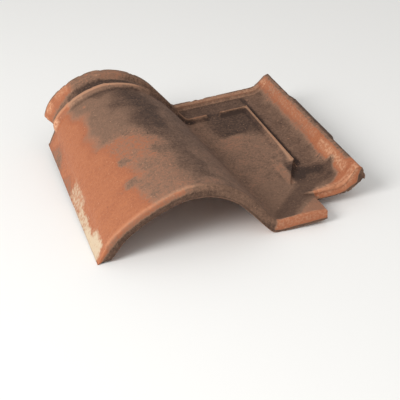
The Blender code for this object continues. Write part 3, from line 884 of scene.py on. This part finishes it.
HEAD_COVER_AND_SHADE = (
    (0, 70, 296, 303, 18, 0.12),
    (124, 235, 296, 303, 22, 0.47),
    (156, 232, 290, 303, 16, 0.62),
    # The groove between the head ribs, with a line of painted shade behind the shoulder rib
    (0, 60, 270, 285, 5, 0.58),
    (66, 235, 271, 287, 6, 0.74),
    (84, 150, 280, 286, 5, 0.88),
    (0, 60, 260, 268, 4, 0.22),
    (84, 160, 259, 266, 4, 0.55),
    (172, 240, 252, 266, 6, 0.74),
    # Painted shade along the back edge, and darker at the left end
    (-10, 235, 306, 330, 3, 0.90),
    (-10, 21, 268, 330, 2, 0.66),
    (20, 110, -10, 0.2, 2.5, 0.32),
    (124, 226, -10, 0.5, 6, 0.58),
)
PAN_COVER_SHADE_AND_HIGHLIGHT = (
    # Darker in the trough behind the branch rib, with painted shade right behind it
    (240, 318, 271, 294, 6, 0.76),
    (240, 318, 263, 268, 4, 0.90),
    # A painted highlight along the rim
    (240, 350, 298, 302, 2.5, 0.48),
    # Painted shade along the back edge
    (240, 360, 306, 330, 2.5, 0.84),
)
SIDE_COVER_AND_SHADE = (
    (354, 361, 36, 300, 12, 0.22),
    (353, 362, 36, 135, 10, 0.06),
    # Painted shade on the roll's outer slope and outer face
    (366, 376, 50, 320, 5, 0.54),
    (370, 410, 60, 320, 3, 0.80),
    # A line of painted shadow beside the L-shaped rib
    (316, 319, 106, 292, 3, 0.90),
    (374, 410, -10, 50, 3, 0.62),
)
LEANING_COVER = (
    (228, 248, 4, 70, 14, 0.76),
    (266, 310, 2, 30, 6, 0.42),
    (280, 314, 36, 56, 12, 0.12),
)
END_COVER = (
    (152, 224, -10, 2, 12, 0.66),
    (236, 301, -10, 2, 3, 0.20),
    (303, 372, 30, 40, 3, 0.16),
)
SMALL_SPOTS = (
    (78, 83, 92, 97, 7, 0.58),
    (72, 79, 50, 57, 8, 0.57),
    (350, 351, 84, 86, 9, 0.94),
    # Paler on the wedge's left face: partly its tan clay, partly a painted highlight
    (285, 290, 66, 108, 5, 0.50),
    (376, 410, -10, 46, 3, 0.66),
)

# Patches that say how pale and dusty the clay is where it is rubbed or a highlight is painted, how mottled the
# slip is, how much of the wear, highlight and hollow shade stays on dull edges, and where lime lies
RUBBED_AND_HIGHLIT = (
    # Painted highlights on the ribs' ends, the roll's crest, the rims, the lip and the pan's nose, over rubbed
    # clay
    (34, 40, 298, 301, 7, 0.70),
    (56, 72, 298, 301, 7, 0.40),
    (28, 36, 261, 264, 6, 0.80),
    (62, 84, 261, 264, 4, 0.30),
    (354, 358, 58, 120, 6, 0.62),
    (356, 360, 140, 290, 6, 0.26),
    (240, 345, 300, 303, 3, 0.34),
    (310, 366, 39, 44, 5, 0.42),
    (236, 300, -10, 2, 3, 0.30),
    (354, 358, 298, 303, 6, 0.60),
    (350, 364, 38.5, 40.5, 3.5, 0.60),
)
MOTTLED = (
    (58, 112, 160, 262, 24, 0.42),
    (76, 215, 0, 130, 34, 0.78),
    (84, 116, 88, 138, 14, 1.30),
    (-10, 8, 60, 270, 12, 1.20),
    (236, 400, 0, 70, 12, 0.40),
    (320, 350, 60, 330, 14, 0.66),
    (350, 366, 60, 330, 6, 1.30),
)
DULL_EDGES = (
    (158, 214, 246, 280, 8, 0.12),
    (134, 232, -10, 8, 12, 0.25),
    (268, 312, 52, 103, 3, 0.0),
    (378, 420, -10, 330, 3, 0.0),
)
LIME_COVER = (
    (-10, 6, 16, 70, 13, 1.0),
    (-10, 14, 16, 34, 14, 1.0),
    (-10, 9, 70, 118, 13, 0.74),
    (6, 18, 100, 136, 14, 0.62),
)
SLIP_STOPS = {"bare_clay": 0.0, "brick": 0.2, "thin_slip": 0.4, "slip": 0.56, "thick_slip": 0.74,
              "soot": 0.94}

# The cover away from all patches, the borders of the patches (marks in mm, reach in mm, detail), the lean of
# the pan's swath, and where the pan begins
PLAIN_COVER = 0.55
PLAIN_MOTTLING = 0.85
BORDERS = ((40.0, 52.0, 1.3), (7.0, 4.0, 3.0))
SWATH_LEAN = 1.2
ON_PAN = (228.0 * MM, 240.0 * MM, 0.0, 1.0)

# Ranges of the height in the wall, 0 at the underside and 1 at the top, and the cover that the painted shade
# low on the end faces and the dull underside give
END_SHADE = ((0.97, 0.60, 0.0, 0.9), (0.26, 0.14, 0.0, 0.9))
BENEATH = (0.14, 0.02, 0.0, 1.0)
UPPER_SIDE = (0.80, 0.95, 0.0, 1.0)
OUTER_SIDE = (0.20, 0.70, 0.0, 1.0)
END_SHADE_COVER = 0.82
DULL_UNDERSIDE = 0.46

# Clouds, specks and grain in the slip: marks in mm and strength
SLIP_MARKS = ((15.0, 0.34), (3.0, 0.55), (1.3, 0.50))

# Ranges for wear with its painted highlight and for dirt with painted shade in the hollows, and how much cover
# the worn, highlit edges and the chips take away
EDGE_WEAR_AND_HIGHLIGHT = (0.06 * MM, 0.24 * MM, 0.0, 0.6)
CREST_WEAR_AND_HIGHLIGHT = (2.6 * MM, 4.1 * MM, 0.0, 0.65)
BEFORE_GROOVE = (272.0 * MM, 268.0 * MM, 0.0, 1.0)
HOLLOW_DIRT_AND_SHADE = (-0.08 * MM, -0.45 * MM, 0.0, 0.24)
RUBBED_AND_HIGHLIT_SPOTS = (0.44, 0.60, 0.20, 1.0)
DUST_AND_HIGHLIGHT_ON_WEAR = (0.10, 0.80, 0.45, 0.56)
WORN_AND_HIGHLIT_OFF = -0.16
CHIPPED_OFF = -0.22

# Grit in clusters: spacing in mm and size of the pale and dark specks, and how much of a speck is its core
GRIT_CLUSTERS = (0.46, 0.60, 0.0, 1.0)
GRIT = (("dust", 5.0, 0.20), ("soot", 6.0, 0.22))
GRIT_CORE = 0.3
GRIT_STRENGTH = 0.35

# Lime: its crumbs in mm, how much they break it up, and the range where it shows
LIME_CRUMB = 3.6
LIME_CRUMBLING = 1.3
LIME_SHOWS = (0.92, 1.66, 0.0, 0.90)

# Finish: roughness from bare clay to soot, a weak shine, and the fine relief
ROUGHNESS = (0.0, 0.8, 0.60, 0.90)
SHINE = 0.3
GRAIN_RELIEF = 0.5
LIME_RELIEF = 0.6
RELIEF_STRENGTH = 0.9
RELIEF_DEPTH = 0.8 * MM


def fired_clay(finish):
    """Pressed roofing clay, sprayed with a grey-brown slip and fired.

    It looks dry and grainy: orange where the slip is off, brown to sooty where it holds, pale where rubbed or a
    highlight is painted, and darker where shade is painted.
    """
    material = bpy.data.materials.new("fired clay")
    material.use_nodes = True
    tree = material.node_tree
    add = partial(add_node, tree)
    shader = tree.nodes["Principled BSDF"]
    colours = {name: getattr(finish, name)[:] + (1.0,) for name in (*SLIP_STOPS, "dust", "lime")}
    place, flat = [add("Attribute", attribute_name=name).outputs["Vector"]
                   for name in ("tile_place", "laid_flat")]
    proud, raised, broken = [add("Attribute", attribute_name=name).outputs["Fac"]
                             for name in ("proud", "raised", "broken")]
    across, along, height = add("SeparateXYZ", (flat,)).outputs
    upper, outer, beneath = [add("MapRange", (height, *limits))
                             for limits in (UPPER_SIDE, OUTER_SIDE, BENEATH)]

    # The patches' borders: ragged ones wander by a centimetre, frayed ones by a few millimetres
    lying = add("CombineXYZ", (across, along, 0.0))
    borders = []
    for width, reach, detail in BORDERS:
        noise = add("TexNoise", {"Vector": place, "Scale": per_mm(width), "Detail": detail})
        around = add("VectorMath", (noise.outputs["Color"], (0.5, 0.5, 0.5)), "SUBTRACT")
        borders.append(add("VectorMath", (around, (reach * MM, reach * MM, 0.0)), "MULTIPLY"))
    frayed = add("VectorMath", (lying, borders[1]), "ADD")
    ragged = add("VectorMath", (frayed, borders[0]), "ADD")
    frayed_x, frayed_y, unused = add("SeparateXYZ", (frayed,)).outputs
    leaned = add("Math", (frayed_y, -SWATH_LEAN, frayed_x), "MULTIPLY_ADD")
    leaning = add("CombineXYZ", (leaned, frayed_y, 0.0))

    cover = painted(tree, ragged, PLAIN_COVER, BARREL_COVER)
    cover = painted(tree, frayed, cover, HEAD_COVER_AND_SHADE + PAN_COVER_SHADE_AND_HIGHLIGHT + SIDE_COVER_AND_SHADE)
    on_pan = add("MapRange", (across, *ON_PAN))
    leaning_cover = painted(tree, leaning, cover, LEANING_COVER)
    cover = add("Mix", (on_pan, cover, leaning_cover), "FLOAT")
    cover = painted(tree, lying, cover, SMALL_SPOTS)

    # The end faces are darker towards their lower edge, painted shade, and the hidden underside is plain dull
    # clay
    for limits, patches in zip(END_SHADE, (END_COVER, ())):
        lower = add("MapRange", (height, *limits), "SMOOTHSTEP")
        cover = add("Mix", (lower, cover, END_SHADE_COVER), "FLOAT")
        cover = painted(tree, frayed, cover, patches)
    cover = add("Mix", (beneath, cover, DULL_UNDERSIDE), "FLOAT")

    # Clouds, specks and grain in the slip, stronger where the tile is mottled
    mottled = painted(tree, ragged, PLAIN_MOTTLING, MOTTLED)
    noises = []
    for width, strength in SLIP_MARKS:
        noise = add("TexNoise", {"Vector": place, "Scale": per_mm(width), "Detail": 3.0})
        centred = add("Math", (noise, 0.5), "SUBTRACT")
        shown = add("Math", (centred, mottled), "MULTIPLY")
        cover = add("Math", (shown, strength, cover), "MULTIPLY_ADD")
        noises.append(noise)
    cloud, speckle, grain = noises

    # Wear and a painted highlight pale the clay on edges and rib crests of the upper side; dirt and painted
    # shade darken hollows
    edge, crest, hollow = [add("MapRange", (measure, *limits), "SMOOTHSTEP") for measure, limits in
                           ((proud, EDGE_WEAR_AND_HIGHLIGHT), (raised, CREST_WEAR_AND_HIGHLIGHT), (proud, HOLLOW_DIRT_AND_SHADE))]
    before = add("MapRange", (along, *BEFORE_GROOVE))
    crest = add("Math", (crest, before), "MULTIPLY")
    worn_and_highlit = add("Math", (edge, crest), "MAXIMUM")
    worn_and_highlit = add("Math", (worn_and_highlit, upper), "MULTIPLY")
    dulled = painted(tree, lying, 1.0, DULL_EDGES)
    worn_and_highlit = add("Math", (worn_and_highlit, dulled), "MULTIPLY")
    for amount, effect in ((worn_and_highlit, WORN_AND_HIGHLIT_OFF), (hollow, dulled), (broken, CHIPPED_OFF)):
        cover = add("Math", (amount, effect, cover), "MULTIPLY_ADD")
    stops = [(share, colours[name]) for name, share in SLIP_STOPS.items()]
    colour = add("ValToRGB", (cover,), ramp=stops)

    # Where the clay is rubbed or a highlight is painted it looks dusty and pale, more so where it is bare
    rubbed_and_highlit = painted(tree, frayed, 0.0, RUBBED_AND_HIGHLIT)
    patchy = add("MapRange", (speckle, *RUBBED_AND_HIGHLIT_SPOTS))
    rubbed_and_highlit = add("Math", (rubbed_and_highlit, patchy), "MULTIPLY")
    rubbed_and_highlit = add("Math", (rubbed_and_highlit, outer), "MULTIPLY")
    bare = add("MapRange", (cover, *DUST_AND_HIGHLIGHT_ON_WEAR))
    dusty_and_highlit = add("Math", (worn_and_highlit, bare), "MULTIPLY")
    dusty_and_highlit = add("Math", (dusty_and_highlit, rubbed_and_highlit), "MAXIMUM")
    colour = add("Mix", (dusty_and_highlit, colour, colours["dust"]), "RGBA")

    # Grit in the clay: pale and dark specks about a millimetre across, in clusters
    clusters = add("MapRange", (cloud, *GRIT_CLUSTERS))
    for name, spacing, share in GRIT:
        cells = add("TexVoronoi", {"Vector": place, "Scale": per_mm(spacing)}).outputs["Distance"]
        specks = add("MapRange", (cells, share, GRIT_CORE * share, 0.0, GRIT_STRENGTH))
        specks = add("Math", (specks, clusters), "MULTIPLY")
        colour = add("Mix", (specks, colour, colours[name]), "RGBA")

    # Lime along the left foot, solid at the nose and crumbled further up
    lime = painted(tree, frayed, 0.0, LIME_COVER)
    crumbs = add("TexNoise", {"Vector": place, "Scale": per_mm(LIME_CRUMB), "Detail": 4.0})
    lime = add("Math", (lime, outer), "MULTIPLY")
    lime = add("Math", (crumbs, LIME_CRUMBLING, lime), "MULTIPLY_ADD")
    lime = add("MapRange", (lime, *LIME_SHOWS), "SMOOTHSTEP")
    colour = add("Mix", (lime, colour, colours["lime"]), "RGBA")

    dull = add("MapRange", (cover, *ROUGHNESS))
    rough = add("Math", (grain, GRAIN_RELIEF, speckle), "MULTIPLY_ADD")
    rough = add("Math", (lime, LIME_RELIEF, rough), "MULTIPLY_ADD")
    relief = add("Bump", {"Strength": RELIEF_STRENGTH, "Distance": RELIEF_DEPTH, "Height": rough})
    shader.inputs["Specular IOR Level"].default_value = SHINE
    for name, node in (("Base Color", colour), ("Roughness", dull), ("Normal", relief)):
        tree.links.new(next(output for output in node.outputs if output.enabled), shader.inputs[name])
    return material


def linked(name, data):
    """A new object in the scene with this mesh, light or camera."""
    found = bpy.data.objects.new(name, data)
    bpy.context.scene.collection.objects.link(found)
    return found


def mesh_from_tree(name, data, tree, values):
    """Run a node tree on a mesh and return the plain mesh that it makes."""
    carrier = linked(name, data)
    modifier = carrier.modifiers.new(tree.name, "NODES")
    modifier.node_group = tree
    for item in tree.interface.items_tree:
        if item.item_type == "SOCKET" and item.in_out == "INPUT" and item.name in values:
            modifier[item.identifier] = values[item.name]
    graph = bpy.context.evaluated_depsgraph_get()
    result = bpy.data.meshes.new_from_object(carrier.evaluated_get(graph), preserve_all_data_layers=True,
                                             depsgraph=graph)
    bpy.data.objects.remove(carrier, do_unlink=True)
    return result


def rest_on_floor(mesh):
    """Lower the tile onto the floor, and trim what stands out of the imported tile's box by a hair."""
    points = np.empty(3 * len(mesh.vertices))
    mesh.vertices.foreach_get("co", points)
    points = points.reshape(-1, 3)
    points[:, 2] -= points[:, 2].min()
    mesh.vertices.foreach_set("co", np.clip(points, CAD_BOX[0], CAD_BOX[1]).ravel())
    mesh.update()


class ROOFTILE_OT_press(bpy.types.Operator):
    """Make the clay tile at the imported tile's place and size"""

    bl_idname = "roof_tile.press"
    bl_label = "Press the tile"
    bl_options = {"REGISTER", "UNDO"}

    def execute(self, context):
        finish = context.scene.roof_tile_finish
        cage = Cage(context.scene.roof_tile_sizes)
        seat = cage.seat()
        data = bpy.data.meshes.new("tile cage")
        cage.mesh.to_mesh(data)
        cage.mesh.free()
        tree = pressed_clay_tree(fired_clay(finish))
        inputs = {name: getattr(finish, depth) for name, depth in CLAY_DEPTHS.items()}
        mesh = mesh_from_tree("tile cage", data, tree, dict(inputs, Seed=float(finish.seed)))
        mesh.transform(seat)
        rest_on_floor(mesh)
        mesh.name = "clay_tile"
        tile = linked("clay_tile", mesh)
        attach(tile, "root")
        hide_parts(TILE_NODE)
        return {"FINISHED"}


def matt_paint(colour):
    """Matt white emulsion: a pale floor with no shine."""
    material = bpy.data.materials.new("matt white paint")
    material.use_nodes = True
    shader = material.node_tree.nodes["Principled BSDF"].inputs
    shader["Base Color"].default_value = colour[:] + (1.0,)
    shader["Roughness"].default_value = FLOOR_ROUGHNESS
    return material


class ROOFTILE_OT_stage(bpy.types.Operator):
    """Set the plain studio: floor, lights, sky and the camera at the photograph's angle"""

    bl_idname = "roof_tile.stage"
    bl_label = "Set the stage"
    bl_options = {"REGISTER", "UNDO"}

    def execute(self, context):
        scene = context.scene
        studio = scene.roof_tile_studio
        half = 0.5 * studio.floor_side
        mesh = bpy.data.meshes.new("floor")
        mesh.from_pydata([(-half, -half, 0.0), (half, -half, 0.0), (half, half, 0.0), (-half, half, 0.0)], [],
                         [(0, 1, 2, 3)])
        mesh.materials.append(matt_paint(studio.floor_tint))
        floor = linked("floor", mesh)

        light = bpy.data.lights.new("key", "AREA")
        light.energy = studio.key_power
        light.shape = "SQUARE"
        light.size = studio.key_side
        key = linked("key", light)
        key.location = KEY_PLACE
        key.rotation_euler = (Vector(KEY_AIM) - key.location).to_track_quat("-Z", "Y").to_euler()

        world = bpy.data.worlds.new("studio")
        world.use_nodes = True
        background = world.node_tree.nodes["Background"].inputs
        background["Color"].default_value = (1.0, 1.0, 1.0, 1.0)
        background["Strength"].default_value = studio.sky
        scene.world = world
        scene.view_settings.view_transform = "Standard"

        lens = bpy.data.cameras.new("camera")
        lens.lens = CAMERA_LENS
        lens.sensor_width = CAMERA_SENSOR
        lens.shift_x, lens.shift_y = CAMERA_SHIFT
        camera = linked("camera", lens)
        camera.location = CAMERA_PLACE
        camera.rotation_euler = [math.radians(angle) for angle in CAMERA_TURN]
        scene.camera = camera
        return {"FINISHED"}


class ROOFTILE_PT_panel(bpy.types.Panel):
    """Lists the tile's sizes, finish and studio, and the steps that make them"""

    bl_idname = "ROOFTILE_PT_panel"
    bl_label = "Clay Roof Tile"
    bl_space_type = "VIEW_3D"
    bl_region_type = "UI"
    bl_category = "Roof Tile"

    def draw(self, context):
        for group, kind, operator in STEPS:
            values = getattr(context.scene, group)
            for name in kind.__annotations__:
                self.layout.prop(values, name)
            if operator:
                self.layout.operator(operator.bl_idname)


STEPS = (
    ("roof_tile_sizes", RoofTileSizes, None),
    ("roof_tile_finish", RoofTileFinish, ROOFTILE_OT_press),
    ("roof_tile_studio", RoofTileStudio, ROOFTILE_OT_stage),
)
CLASSES = (RoofTileSizes, RoofTileFinish, RoofTileStudio, ROOFTILE_OT_press, ROOFTILE_OT_stage,
           ROOFTILE_PT_panel)


def register():
    for kind in CLASSES:
        bpy.utils.register_class(kind)
    for group, kind, operator in STEPS:
        setattr(bpy.types.Scene, group, PointerProperty(type=kind))


def unregister():
    for group, kind, operator in STEPS:
        delattr(bpy.types.Scene, group)
    for kind in reversed(CLASSES):
        bpy.utils.unregister_class(kind)


def main():
    register()
    bpy.ops.roof_tile.press()
    bpy.ops.roof_tile.stage()


if __name__ == "__main__":
    main()
